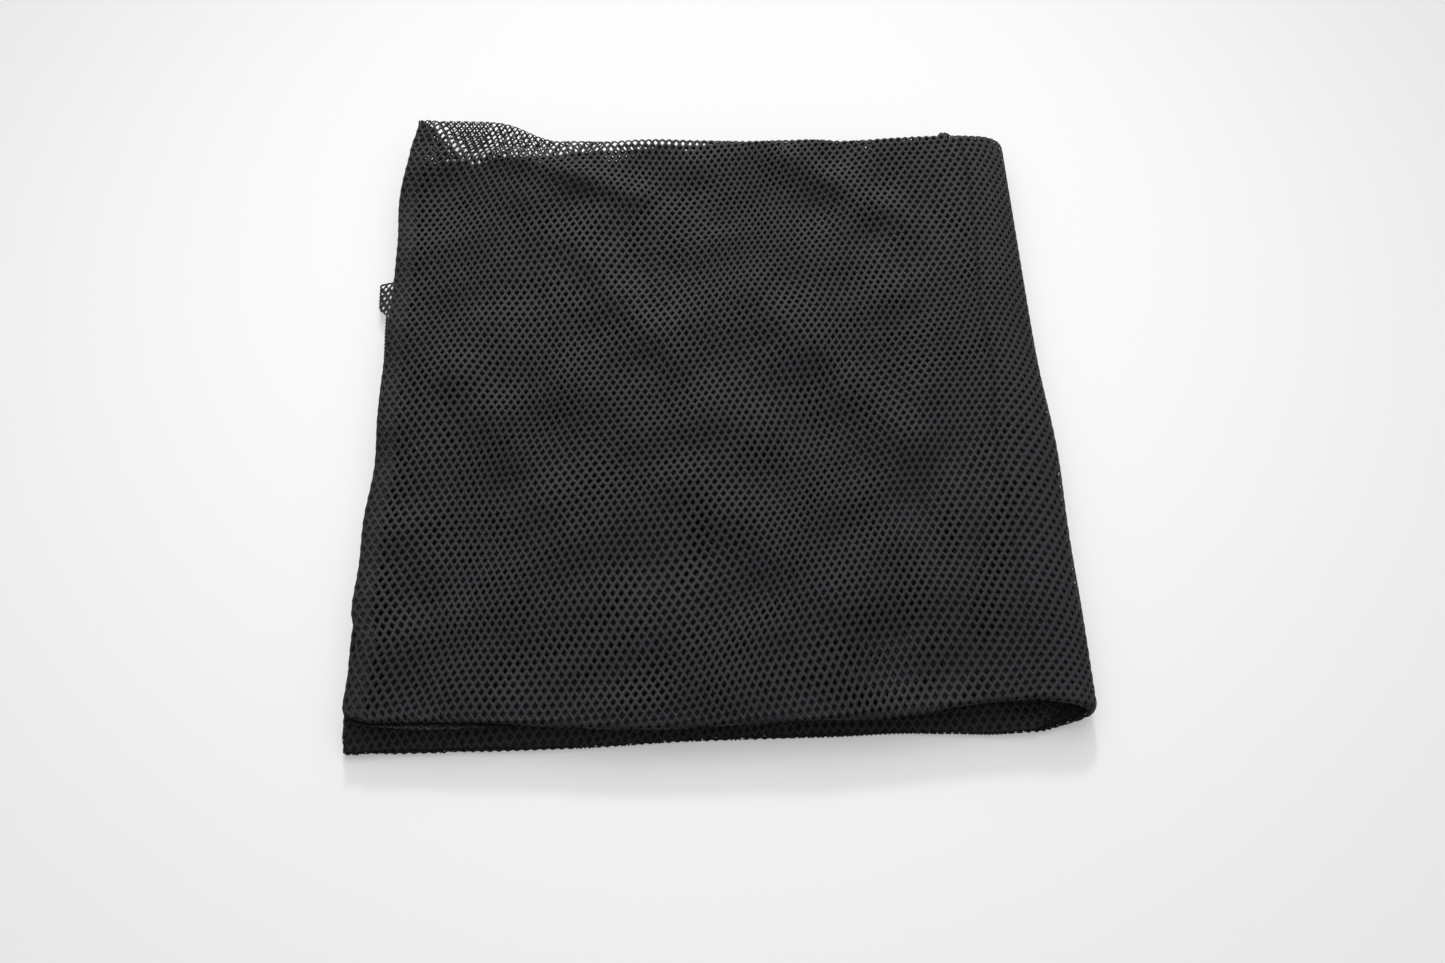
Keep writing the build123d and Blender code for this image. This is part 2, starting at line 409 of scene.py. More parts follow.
def spine_section(ply, angle):
    """x and z on the book fold's section, which is a squared-off half ellipse."""
    reach = SPINE_APEX - SPINE_X - (OUTER_PLY - ply) * SPINE_NEST
    power = 2 / SPINE_POWER
    x = SPINE_X + reach * np.abs(np.cos(angle)) ** power
    z = MID_Z + spine_rise(ply) * np.sign(np.sin(angle)) * np.abs(np.sin(angle)) ** power
    return x, z


def spine_lengths(ply):
    """Angles round the book fold, and a ply's length up to each."""
    angle = np.linspace(-math.pi / 2, math.pi / 2, 721)
    x, z = spine_section(ply, angle)
    return angle, np.concatenate([[0], np.cumsum(np.hypot(np.diff(x), np.diff(z)))])


def spine_columns(ply):
    """How many whole holes a ply has round the book fold."""
    return round(spine_lengths(ply)[1][-1] / HOLE_PITCH)


def ply_end(half, ply):
    """The height at which a ply meets the book fold."""
    from_outside = (OUTER_PLY - ply) * TIGHT_PITCH
    if half == "lower":
        return FLOOR_CLEAR + from_outside
    return 2 * MID_Z - FLOOR_CLEAR - from_outside


def turn_length(panel, third):
    """The length of cloth that goes round the book fold."""
    return spine_columns(PLY[panel][third]) * HOLE_PITCH


def pulled(panel, third, u, s):
    """Where a place on the even knit comes to on the cloth, which is pulled out of square.
    Both are followed from the lower half's open edge, and from the middle third's middle."""
    turn = turn_length(panel, third)
    total = 2 * FLAT_WIDTH + turn
    part_turned = np.clip((u - FLAT_WIDTH) / turn, 0, 1)
    low = u <= FLAT_WIDTH
    high = u >= total - FLAT_WIDTH
    even_u = np.where(high, PULL_SPAN - (total - u), u)
    even_u = np.where(low | high, even_u,
                      FLAT_WIDTH + part_turned * (PULL_SPAN - 2 * FLAT_WIDTH))
    held = PULL * smooth(np.minimum(u, total - u) / PULL_FADE)
    free = held * smooth(np.abs(part_turned - 0.5) + 0.5)
    pulled_u = np.clip(u, EDGE_REST, total - EDGE_REST) + free * pull_across[panel](even_u, s)
    pulled_s = s - SKEW * (even_u - PULL_SPAN / 2) + held * pull_along[panel](even_u, s)
    return pulled_u, pulled_s


def on_cloth(panel, third, u, s):
    """A point of the cloth in its folds, and its ply. u and s are places on the cloth."""
    turn = turn_length(panel, third)
    total = 2 * FLAT_WIDTH + turn
    x0, y0, z0, ply0 = on_half("lower", panel, np.minimum(u, FLAT_WIDTH), s)
    x1, y1, z1, ply1 = on_half("upper", panel, np.minimum(total - u, FLAT_WIDTH), s)
    angles, lengths = spine_lengths(PLY[panel][third])
    along = np.clip((u - FLAT_WIDTH) / turn, 0, 1)
    t = smooth(along)
    ply = lerp(ply0, ply1, t)
    spine_x, spine_z = spine_section(ply, np.interp(along * lengths[-1], lengths, angles))
    spine_z = spine_z + lerp(z0 - ply_end("lower", ply0), z1 - ply_end("upper", ply1), t)
    spine_y = lerp(y0, y1, t)
    # Its back end stands out a little, its side bows out and its corners are drawn in
    at_back = smooth((spine_y - 138) / 16) * smooth((spine_x - 134) / 18)
    spine_y = spine_y + at_back * (3.4 - 1.2 * smooth((spine_z - 4) / 12))
    corner = smooth((spine_x - 132) / 18)
    spine_x = spine_x + corner * (
        2.0 * smooth((20 - spine_y) / 150)
        + 2.2 * bump(spine_y, -28, 34)
        - 6.0 * np.clip((-147 - spine_y) / 9, 0, 1) ** 2
        - 3.0 * np.clip((spine_y - 151) / 6, 0, 1) ** 2
    )
    low = u <= FLAT_WIDTH
    high = u >= total - FLAT_WIDTH
    x = np.where(low, x0, np.where(high, x1, spine_x))
    y = np.where(low, y0, np.where(high, y1, spine_y))
    z = np.where(low, z0, np.where(high, z1, spine_z))
    ply = np.where(low, ply0, np.where(high, ply1, ply))
    return np.stack([x, y, z], axis=-1), ply


# The knit, flat

def scatter(a, b, seed):
    """A repeatable number from -1 to 1 for each pair of whole numbers."""
    mixed = (a * 73856093) ^ (b * 19349663) ^ (seed * 83492791)
    mixed = (mixed ^ (mixed >> 13)) * 1274126177
    return ((mixed ^ (mixed >> 16)) & 0xFFFF) / 32767.5 - 1.0


def cell_ring(sides):
    """The corners of a hole's cell, and with 12 sides the middles of its edges too."""
    short = CELL_NECK
    tall = ROW_PITCH - short
    half = HOLE_PITCH / 2
    corners = np.array(
        [(0, tall), (half, short), (half, -short), (0, -tall), (-half, -short), (-half, short)]
    )
    if sides == 6:
        return corners
    middles = (corners + np.roll(corners, -1, axis=0)) / 2
    return np.stack([corners, middles], axis=1).reshape(-1, 2)


def cells(columns, rows):
    """The row and the column of every cell in a stretch of knit."""
    row, column = np.meshgrid(np.arange(*rows), np.arange(*columns), indexing="ij")
    return row.ravel(), column.ravel()


def cell_centres(row, column):
    """Where the cells' middles lie on the flat knit."""
    along_row = (column + 0.25 + 0.5 * (row % 2)) * HOLE_PITCH
    return np.stack([along_row, row * ROW_PITCH], axis=-1)


def knit(row, column, sides, share=HOLE_SHARE):
    """A perforated sheet of whole cells, flat: points, which of them are on crowns, and quads.
    share is the size of each cell's hole, as a share of the cell."""
    centre = cell_centres(row, column)
    ring = cell_ring(sides)
    crowns = (centre[:, None, :] + ring[None, :, :]).reshape(-1, 2)
    size = share * (1 + SIZE_JITTER * scatter(row, column, 1))
    reach = np.hypot(ring[:, 0], ring[:, 1])
    drawn = ring * lerp(1.0, reach.mean() / reach, HOLE_ROUND)[:, None]
    steep = 2 * ROW_PITCH / HOLE_PITCH
    drawn = drawn + HOLE_SLANT * drawn[:, ::-1] * (1 / steep, steep)
    rims = centre[:, None, :] + size[:, None, None] * drawn[None]
    rims[..., 0] += RIM_JITTER * scatter(row, column, 2)[:, None]
    rims[..., 1] += RIM_JITTER * scatter(row, column, 3)[:, None]

    key = np.round(crowns * 1000).astype(np.int64)
    kept, first, same = np.unique(
        key[:, 0] * (1 << 32) + key[:, 1], return_index=True, return_inverse=True
    )
    crown_of = same.reshape(-1, sides)
    rim_of = len(kept) + np.arange(len(row) * sides).reshape(-1, sides)
    wander = np.stack([scatter(*key[first].T, seed) for seed in (4, 5)], axis=-1)
    points = np.concatenate([crowns[first] + CROWN_JITTER * wander, rims.reshape(-1, 2)])
    on_crown = np.zeros(len(points))
    on_crown[: len(kept)] = 1.0
    quads = np.stack(
        [crown_of, np.roll(crown_of, -1, 1), np.roll(rim_of, -1, 1), rim_of], axis=-1
    ).reshape(-1, 4)
    return points, on_crown, quads


def net_area(points, quads):
    """The area of a flat sheet's quads, without its holes, in square metres."""
    x, y = points[quads][..., 0], points[quads][..., 1]
    twice = (x * np.roll(y, -1, 1) - np.roll(x, -1, 1) * y).sum(1)
    return float(np.abs(twice).sum() / 2) * MM * MM


def make_mesh(name, points, faces, uv=None, crown=None):
    """A smooth mesh object from arrays of one kind of face. Points are in the pack's frame."""
    mesh = bpy.data.meshes.new(name)
    faces = np.asarray(faces)
    count, sides = faces.shape
    in_frame = (points + (PACK_X, 0, 0)) * MM
    mesh.vertices.add(len(points))
    mesh.vertices.foreach_set("co", in_frame.astype(np.float32).ravel())
    mesh.loops.add(count * sides)
    mesh.loops.foreach_set("vertex_index", faces.astype(np.int32).ravel())
    mesh.polygons.add(count)
    mesh.polygons.foreach_set("loop_start", np.arange(0, count * sides, sides, dtype=np.int32))
    mesh.polygons.foreach_set("loop_total", np.full(count, sides, dtype=np.int32))
    if uv is not None:
        layer = mesh.uv_layers.new(name="cloth")
        layer.data.foreach_set("uv", (uv[faces.ravel()] * MM).astype(np.float32).ravel())
    # crown: 1 on strands' crowns and 0 at holes' rims, less where painted shade is drawn
    if crown is not None:
        attribute = mesh.attributes.new("crown", "FLOAT", "POINT")
        attribute.data.foreach_set("value", crown.astype(np.float32))
    mesh.update(calc_edges=True)
    mesh.validate()
    mesh.shade_smooth()
    piece = bpy.data.objects.new(name, mesh)
    bpy.context.scene.collection.objects.link(piece)
    return piece


def unit(vectors):
    """Vectors brought to a length of one."""
    return vectors / np.maximum(np.linalg.norm(vectors, axis=-1, keepdims=True), 1e-9)


def raised(surface, flat, height):
    """Carries flat points through a mapping, standing out along its normal by height."""
    step = 0.06
    u, s = flat[:, 0], flat[:, 1]
    du = surface(u + step, s) - surface(u - step, s)
    ds = surface(u, s + step) - surface(u, s - step)
    return surface(u, s) + unit(np.cross(du, ds)) * height[:, None]


def base_end(panel):
    """The length at which a panel's base edge lies, where the seam takes it."""
    return -BASE_LENGTH - math.pi * turn_radius(panel, BASE)


def mouth_end(half, panel, x):
    """The length at which a panel turns in at its mouth edge."""
    radius = turn_radius(panel, MOUTH)
    back = back_fold(half, panel, x) - radius - INSIDE[panel] * TURN_PITCH
    return 2 * back - shift_of(half) + math.pi * radius - mouth_edge(half, x, panel) - HEM_RADIUS


def showing(ply):
    """How much light reaches a strand: less for the plies inside the stack."""
    outside = smooth((ply - 5.1) / 0.6)
    inside = 0.95 * smooth((1.28 - ply) / 0.2)
    return 0.05 + 0.95 * np.maximum(outside, inside)


def past_lip(place, reach):
    """1 along the upper half's front fold and on what stands out past it, into the light."""
    x, y, z = place.T
    return smooth((front_fold("upper", x) + reach - y) / 0.6) * smooth(z - 6.0)


def mouth_ends(panel, u):
    """The length at which the hem turns in, across the whole cloth."""
    turn = turn_length(panel, HEM)
    low = mouth_end("lower", panel, straight_x(u))
    high = mouth_end("upper", panel, straight_x(2 * FLAT_WIDTH + turn - u))
    return lerp(low, high, smooth((u - FLAT_WIDTH) / turn))


def third_ends(panel, third, u):
    """The lengths between which a third lies: cut at the folds, and before the hem turns in."""
    mouth = mouth_ends(panel, u)
    cuts = (base_end(panel), FRONT_CUT, BACK_CUT[panel], mouth - HEM_START,
            mouth + math.pi * HEM_RADIUS + HEM_DEPTH)
    ends = dict(zip((BASE, MIDDLE, MOUTH, HEM), zip(cuts, cuts[1:])))[third]
    return [np.broadcast_to(end, u.shape) for end in ends]


def hole_share(panel, third, u, s):
    """The size of a panel's holes: drawn closed at sharp bends and open at the back flap."""
    turn = turn_length(panel, third)
    from_edge = np.minimum(u, 2 * FLAT_WIDTH + turn - u)
    if third == HEM:
        return HOLE_SHARE * (1 + 0.3 * smooth((s - mouth_ends(panel, u)) / 2))
    round_spine = bump((u - FLAT_WIDTH) / turn, 0.5, 0.33)
    x = straight_x(from_edge)
    lip = 0.6 * bump(s, front_fold("upper", x) - SHIFT - 0.9, 1.8)
    lip = lip * smooth((u - FLAT_WIDTH - turn) / 4)
    sole = 0.35 * bump(s, front_fold("lower", x) + SHIFT - 0.9, 2.2)
    sole = sole * smooth((FLAT_WIDTH - u) / 4)
    front_corner = bump(s, -158.0, 8.0) * round_spine
    back_turn = bump(s, 155.5, 9.0) * smooth((from_edge - 135) / 40)
    flap_end = outer_back_fold("upper", x) - SHIFT + 1.4
    flap = bump(s, flap_end, 8 + 14 * flap_share(x))
    flap = flap * smooth((150 - from_edge) / 30) * smooth((u - FLAT_WIDTH) / turn)
    flap = flap * lerp(0.22, 0.58, smooth((s - flap_end + 3) / 6))
    share = HOLE_SHARE * (1 - 0.28 * round_spine) * (1 - 0.5 * front_corner)
    return share * (1 - 0.36 * back_turn) * (1 - lip) * (1 - sole) * (1 + flap)


def cloth_piece(name, panel, third, columns, fine):
    """A stretch of a panel, as a perforated sheet whose crowns face out of the bag.
    Gives the piece, its flat size and its net area."""
    across = np.linspace(0, 2 * FLAT_WIDTH + turn_length(panel, third), 200)
    start, stop = third_ends(panel, third, across)
    spare = SKEW * PULL_SPAN / 2 + 2 * PULL   # how far the skew and the pulls may move a row
    rows = (math.floor((start.min() - spare) / ROW_PITCH),
            math.ceil((stop.max() + spare) / ROW_PITCH))
    row, column = cells(columns, rows)
    u, s = pulled(panel, third, *cell_centres(row, column).T)
    start, stop = third_ends(panel, third, u)
    kept = (s >= start) & (s < stop)
    length = np.max(stop - start) + ROW_PITCH
    share = hole_share(panel, third, u[kept], s[kept])
    flat, crown, quads = knit(row[kept], column[kept], 12 if fine else 6, share)
    height = OUTWARD[panel] * np.where(crown > 0.5, CROWN, RIM)

    def surface(u, s):
        return on_cloth(panel, third, *pulled(panel, third, u, s))[0]

    place, ply = on_cloth(panel, third, *pulled(panel, third, *flat.T))
    # painted shade on the plies inside the stack, and painted light along the lip, carried in the
    # crown attribute
    lit = np.maximum(showing(ply), past_lip(place, 1.4 if third == HEM else 0.4))
    piece = make_mesh(name, raised(surface, flat, height), quads, flat, crown * lit)
    width = (columns[1] - columns[0] + 0.5) * HOLE_PITCH
    return piece, (width * MM, float(length) * MM), net_area(flat, quads)


# Seams, threads and stitching

def joined(*parts):
    """Several (points, quads, flat, crown) made one."""
    points, quads, flat, crown = zip(*parts)
    starts = np.cumsum([0] + [len(each) for each in points])
    renumbered = [each + start for each, start in zip(quads, starts)]
    return [np.concatenate(each) for each in (points, renumbered, flat, crown)]


def frame_at(surface, along, into):
    """A surface's point, and its directions into the cloth and out of it."""
    step = 0.1
    d_along = surface(along + step, into) - surface(along - step, into)
    d_into = unit(surface(along, into + step) - surface(along, into - step))
    return surface(along, into), d_into, unit(np.cross(d_along, d_into))


def roll(surface, start, stop):
    """A rolled edge of knit, with a dark core. surface(along, into) gives the cloth."""
    rows = (round(start / ROW_PITCH), round(stop / ROW_PITCH))
    flat, crown, quads = knit(*cells((0, ROLL_COLUMNS), rows), 6)
    around = 2 * math.pi * flat[:, 0] / (ROLL_COLUMNS * HOLE_PITCH)
    centre, into, normal = frame_at(surface, flat[:, 1], np.full(len(flat), ROLL_CENTRE))
    out = np.where(crown > 0.5, ROLL_CROWN, ROLL_RIM)
    knitted = (
        centre
        + into * ((ROLL_WIDTH + out) * np.cos(around))[:, None]
        + normal * ((ROLL_HEIGHT + out) * np.sin(around))[:, None]
    )
    along = np.arange(rows[0], rows[1]) * ROW_PITCH
    angle = np.arange(CORE_SIDES) * 2 * math.pi / CORE_SIDES
    centre, into, normal = frame_at(surface, along, np.full(len(along), ROLL_CENTRE))
    core = (
        centre[:, None]
        + into[:, None] * (ROLL_WIDTH - CORE_DEPTH) * np.cos(angle)[None, :, None]
        + normal[:, None] * (ROLL_HEIGHT - CORE_DEPTH) * np.sin(angle)[None, :, None]
    ).reshape(-1, 3)
    core_flat = np.stack(
        [np.tile(angle * ROLL_WIDTH, len(along)), np.repeat(along, CORE_SIDES)], axis=-1
    )
    return joined(
        (knitted, quads, flat, crown),
        # the core takes the hole rims' colour, which is painted shade
        (core, ring_quads(len(along), CORE_SIDES), core_flat, np.zeros(len(core))),
    )


def ring_quads(count, sides):
    """The quads of a tube of rings."""
    i, j = np.meshgrid(np.arange(count - 1), np.arange(sides), indexing="ij")
    k = (j + 1) % sides
    corners = [i * sides + j, i * sides + k, (i + 1) * sides + k, (i + 1) * sides + j]
    return np.stack(corners, axis=-1).reshape(-1, 4)


def allowance(surface, start, stop):
    """The seam allowance, turned in and lying flat between the panels."""
    rows = (round(start / ROW_PITCH), round(stop / ROW_PITCH))
    flat, crown, quads = knit(*cells((0, ALLOWANCE_COLUMNS), rows), 6)
    into = ROLL_CENTRE + np.maximum(flat[:, 0], 0)
    centre, _, normal = frame_at(surface, flat[:, 1], into)
    out = np.where(crown > 0.5, ALLOWANCE_RELIEF, -ALLOWANCE_RELIEF)
    return centre + normal * out[:, None], quads, flat, ALLOWANCE_LIGHT * crown


def tubes(paths, radius, sides=6):
    """Threads along many paths of equally many points: points and quads."""
    paths = np.asarray(paths)
    along = unit(np.gradient(paths, axis=1))
    up = np.where(np.abs(along[..., 2:]) > 0.8, (0.0, 1.0, 0.0), (0.0, 0.0, 1.0))
    side = unit(np.cross(along, up))
    top = np.cross(side, along)
    angle = (np.arange(sides) * 2 * math.pi / sides)[:, None]
    ring = np.cos(angle) * side[..., None, :] + np.sin(angle) * top[..., None, :]
    points = (paths[..., None, :] + radius * ring).reshape(-1, 3)
    count, length = paths.shape[:2]
    one = ring_quads(length, sides)
    starts = np.arange(count) * length * sides
    return points, (one[None] + starts[:, None, None]).reshape(-1, 4)


def overlock_path(surface, start, stop):
    """Thread zigzagging over the allowance's raw edge, from one side of it to the other."""
    count = round((stop - start) / OVERLOCK_STEP)
    along = np.linspace(start, stop, count)
    phase = along * 2 * math.pi / OVERLOCK_WAVE
    near, far = ALLOWANCE_EDGE - OVERLOCK_BEFORE, ALLOWANCE_EDGE + OVERLOCK_PAST
    into = lerp(near, far, 0.5 + 0.5 * np.sin(phase))
    centre, _, normal = frame_at(surface, along, into)
    return centre + normal * (OVERLOCK_RISE * np.cos(phase))[:, None]


def stitches(panel, start, stop):
    """A row of stitches along a panel's hem, lying on its crowns."""
    first = np.arange(start, stop, STITCH_PITCH)
    part = np.linspace(0, 1, 7)
    along = first[:, None] + part[None, :] * STITCH_LENGTH
    rise = OUTWARD[panel] * (CROWN - STITCH_SUNK + STITCH_RISE * np.sin(math.pi * part) ** 0.5)
    line = mouth_ends(panel, along) - STITCH_FROM_MOUTH
    centre, _, normal = frame_at(hem_surface(panel), along, line)
    return centre + normal * rise[:, None]


# Materials

LOOP_SCALE = 2100.0       # knitted loops per metre of cloth
LOOP_STRETCH = 0.62       # they are longer than wide
FIBRE_SCALE = 5200.0
SLOW_SCALE = 32.0         # the cloth's patches of darker tone
# Light specks on the knit: partly dust, partly painted glints of shiny filaments
DUST_AND_GLINT_SCALE = 120.0
SPECKLESS_SHARE = 0.955       # the share of the specks' cells that hold neither dust nor a painted glint
DUST_AND_GLINT = (0.34, 0.33, 0.31)


def node(tree, kind, **values):
    """A node with some of its properties and inputs set."""
    made = tree.nodes.new(kind)
    for key, value in values.items():
        if key in made.inputs:
            made.inputs[key].default_value = value
        else:
            setattr(made, key, value)
    return made


def mixed_colour(tree, factor, low, high):
    """A colour that goes from low to high with factor. Both are colours or sockets."""
    mix = node(tree, "ShaderNodeMix", data_type="RGBA")
    tree.links.new(factor, mix.inputs["Factor"])
    for socket, value in ((mix.inputs["A"], low), (mix.inputs["B"], high)):
        if isinstance(value, tuple):
            socket.default_value = (*value, 1)
        else:
            tree.links.new(value, socket)
    return mix.outputs["Result"]


def spread(tree, value, low, high, to_low=0.0, to_high=1.0, kind="LINEAR"):
    """A value taken from one range to another, and kept inside it."""
    made = node(tree, "ShaderNodeMapRange", interpolation_type=kind)
    tree.links.new(value, made.inputs["Value"])
    for name, number in (("From Min", low), ("From Max", high), ("To Min", to_low),
                         ("To Max", to_high)):
        made.inputs[name].default_value = number
    return made.outputs["Result"]


def blank_material(name, specular):
    """A material, its node tree and its shader."""
    material = bpy.data.materials.new(name)
    material.use_nodes = True
    shader = material.node_tree.nodes["Principled BSDF"]
    shader.inputs["Specular IOR Level"].default_value = specular
    return material, material.node_tree, shader


def knit_material(name, strand, rim, glints=True):
    """Black knit: yarn loops with painted highlights on their middles, hole rims darkened by painted
    shade, light specks that are dust and painted glints, and slow variation of tone.
    """
    material, tree, shader = blank_material(name, 0.20)
    link = tree.links.new
    shader.inputs["Sheen Weight"].default_value = 0.055
    shader.inputs["Sheen Roughness"].default_value = 0.5

    cloth = node(tree, "ShaderNodeUVMap", uv_map="cloth").outputs["UV"]
    stretched = node(tree, "ShaderNodeMapping")
    stretched.inputs["Scale"].default_value = (1.0, LOOP_STRETCH, 1.0)
    link(cloth, stretched.inputs["Vector"])
    loops = node(tree, "ShaderNodeTexVoronoi", Scale=LOOP_SCALE, feature="SMOOTH_F1")
    link(stretched.outputs["Vector"], loops.inputs["Vector"])
    fibres = node(tree, "ShaderNodeTexNoise", Scale=FIBRE_SCALE, Detail=3.0)
    link(stretched.outputs["Vector"], fibres.inputs["Vector"])
    slow = node(tree, "ShaderNodeTexNoise", Scale=SLOW_SCALE, Detail=3.0)
    link(cloth, slow.inputs["Vector"])

    # The crown attribute is 1 on strands' crowns and 0 at holes' rims, scaled down by painted shade
    # on the inner plies, the allowance and the tab; the rims' darker colour is painted shade of the
    # holes
    crown = node(tree, "ShaderNodeAttribute", attribute_name="crown").outputs["Fac"]
    body = mixed_colour(tree, spread(tree, crown, 0.08, 0.8), rim, strand)
    # painted highlight: the knitted loops' raised middles are drawn lighter than the strand
    loop_highlight = tuple(1.45 * c for c in strand)
    in_loop = spread(tree, loops.outputs["Distance"], 0.15, 0.75, 0.75, 0.0)
    lit = mixed_colour(tree, in_loop, body, loop_highlight)
    dim = tuple(0.62 * c for c in strand)
    colour = mixed_colour(tree, spread(tree, slow.outputs["Fac"], 0.38, 0.66, 0.0, 0.45), lit, dim)
    # rare light specks in the base colour: dust, and painted glints
    if glints:
        dust_and_glints = node(tree, "ShaderNodeTexVoronoi", Scale=DUST_AND_GLINT_SCALE)
        link(cloth, dust_and_glints.inputs["Vector"])
        near = spread(tree, dust_and_glints.outputs["Distance"], 0.012, 0.03, 1.0, 0.0)
        pick = node(tree, "ShaderNodeSeparateColor")
        link(dust_and_glints.outputs["Color"], pick.inputs["Color"])
        rare = spread(tree, pick.outputs["Red"], SPECKLESS_SHARE, SPECKLESS_SHARE + 0.005)
        both = node(tree, "ShaderNodeMath", operation="MULTIPLY")
        link(near, both.inputs[0])
        link(rare, both.inputs[1])
        colour = mixed_colour(tree, both.outputs[0], colour, DUST_AND_GLINT)
    link(colour, shader.inputs["Base Color"])
    on_strand = spread(tree, fibres.outputs["Fac"], 0.3, 0.7, 0.44, 0.62)
    roughness = node(tree, "ShaderNodeMix", data_type="FLOAT", A=0.92)
    link(spread(tree, crown, 0.08, 0.6), roughness.inputs["Factor"])
    link(on_strand, roughness.inputs["B"])
    link(roughness.outputs["Result"], shader.inputs["Roughness"])

    height = node(tree, "ShaderNodeMath", operation="ADD")
    link(spread(tree, loops.outputs["Distance"], 0.0, 0.8, 1.0, 0.0), height.inputs[0])
    link(spread(tree, fibres.outputs["Fac"], 0.3, 0.7, 0.0, 0.5), height.inputs[1])
    bumps = node(tree, "ShaderNodeBump", Strength=0.55, Distance=0.00016)
    link(height.outputs[0], bumps.inputs["Height"])
    link(bumps.outputs["Normal"], shader.inputs["Normal"])
    return material


def thread_material(name, base, scale):
    """Twisted spun thread."""
    material, tree, shader = blank_material(name, 0.3)
    link = tree.links.new
    twist = node(tree, "ShaderNodeTexNoise", Scale=scale, Detail=4.0)
    link(node(tree, "ShaderNodeTexCoord").outputs["Object"], twist.inputs["Vector"])
    light = tuple(1.8 * c for c in base)
    colour = mixed_colour(tree, spread(tree, twist.outputs["Fac"], 0.35, 0.65), base, light)
    link(colour, shader.inputs["Base Color"])
    link(spread(tree, twist.outputs["Fac"], 0.3, 0.7, 0.5, 0.8), shader.inputs["Roughness"])
    bumps = node(tree, "ShaderNodeBump", Strength=0.4, Distance=0.0001)
    link(twist.outputs["Fac"], bumps.inputs["Height"])
    link(bumps.outputs["Normal"], shader.inputs["Normal"])
    return material


# Each knit's strand colour, then its hole rims' darker colour, which is painted shade
MATERIALS = {
    "mesh": knit_material("mesh", (0.0136, 0.0141, 0.0165), (0.0021, 0.0022, 0.0029)),
    "hem_mesh": knit_material("hem_mesh", (0.0134, 0.0138, 0.0162), (0.0020, 0.0021, 0.0028)),
    "seam_mesh": knit_material("seam_mesh", (0.0138, 0.0142, 0.0163), (0.0021, 0.0022, 0.0028),
                               glints=False),
    "overlock_thread": thread_material("overlock_thread", (0.0140, 0.0140, 0.0160), 3000),
    "sewing_thread": thread_material("sewing_thread", (0.0230, 0.0230, 0.0260), 4000),
}


# The pieces

def columns_of(part, turn):
    """The first of a part's columns of holes, and the first after it."""
    if part == "lower":
        return 0, FLAT_COLUMNS
    if part == "book_fold":
        return FLAT_COLUMNS, FLAT_COLUMNS + turn
    return FLAT_COLUMNS + turn, 2 * FLAT_COLUMNS + turn


def spans_across(panel, third, short):
    """Where each part of a row across the cloth runs, stopping short of the open edges."""
    turn = turn_length(panel, third)
    return {
        "lower": (short, FLAT_WIDTH),
        "book_fold": (FLAT_WIDTH, FLAT_WIDTH + turn),
        "upper": (FLAT_WIDTH + turn, 2 * FLAT_WIDTH + turn - short),
    }


def across_fold(piece):
    """Bakes a book-fold piece's transform into its mesh, so that it hangs on neither half."""
    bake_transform(piece)


def finished(piece, slot, part, stem):
    """Gives a piece its material, hangs it on its half or, at the book fold, bakes its transform,
    and hides the CAD nodes that it stands for."""
    piece.data.materials.append(MATERIALS[slot])
    if part == "book_fold":
        across_fold(piece)
        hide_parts(*(f"{stem}_{half}" for half in HALVES))
    else:
        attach(piece, BODY[part])
        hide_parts(f"{stem}_{part}")


def side_surface(half):
    """The cloth at a side seam, followed along the seam and inwards from the open edge."""
    def surface(along, into):
        x, y, z, _ = on_half(half, "seam", np.maximum(into, 0.0), along)
        return np.stack([x + np.minimum(into, 0.0), y, z], axis=-1)
    return surface


def base_surface(along, into):
    """The cloth at the base seam, followed across the bag and up from the base."""
    return on_cloth("seam", BASE, along, base_end("seam") + into)[0]


def hem_surface(panel):
    """The cloth of a panel's hem, followed across the bag and towards the mouth."""
    def surface(along, into):
        return on_cloth(panel, HEM, along, into)[0]
    return surface


def overlocked_seam(stem, part, surface, start, stop, thread_short):
    """A rolled seam and its allowance, and the overlocking along the allowance's raw edge."""
    knitted = joined(roll(surface, start, stop), allowance(surface, start, stop))
    path = overlock_path(surface, start + thread_short, stop - thread_short)
    seam = make_mesh(f"{stem}_{part}", *knitted)
    thread = make_mesh(f"{stem}_thread_{part}", *tubes([path], YARN))
    finished(seam, "seam_mesh", part, stem)
    finished(thread, "overlock_thread", part, f"{stem}_thread")
    return [seam, thread]


seam_pieces = {part: [] for part in PARTS}

for half in HALVES:
    start = base_end("seam") + SIDE_SEAM_SHORT
    stop = float(mouth_end(half, "seam", LEFT_X)) - SIDE_SEAM_SHORT
    seam_pieces[half] += overlocked_seam("side_seam", half, side_surface(half), start, stop,
                                         SIDE_SEAM_SHORT)

for part, (start, stop) in spans_across("seam", BASE, BASE_SEAM_SHORT).items():
    seam_pieces[part] += overlocked_seam("base_seam", part, base_surface,
                                         start, stop, 0.0)

for panel in PANELS:
    name = panel.replace("panel", "hem_stitching")
    for part, (start, stop) in spans_across(panel, HEM, STITCH_SHORT).items():
        thread = make_mesh(f"{name}_{part}", *tubes(stitches(panel, start, stop), YARN))
        finished(thread, "sewing_thread", part, "hem_stitching")
        seam_pieces[part].append(thread)


# The tab: a bit of the lower seam's allowance, turned out past the open edge

def tab_width(y):
    """How far the tab reaches past the edge, from front to back."""
    rim = lerp(1.2, TAB_RIM, np.clip((y - TAB_FRONT) / (TAB_FULL - TAB_FRONT), 0, 1))
    reach = TAB_REACH - TAB_LEAN * (TAB_BACK - y)
    return lerp(rim, reach, smooth((y - TAB_FULL + TAB_TAPER) / TAB_TAPER))


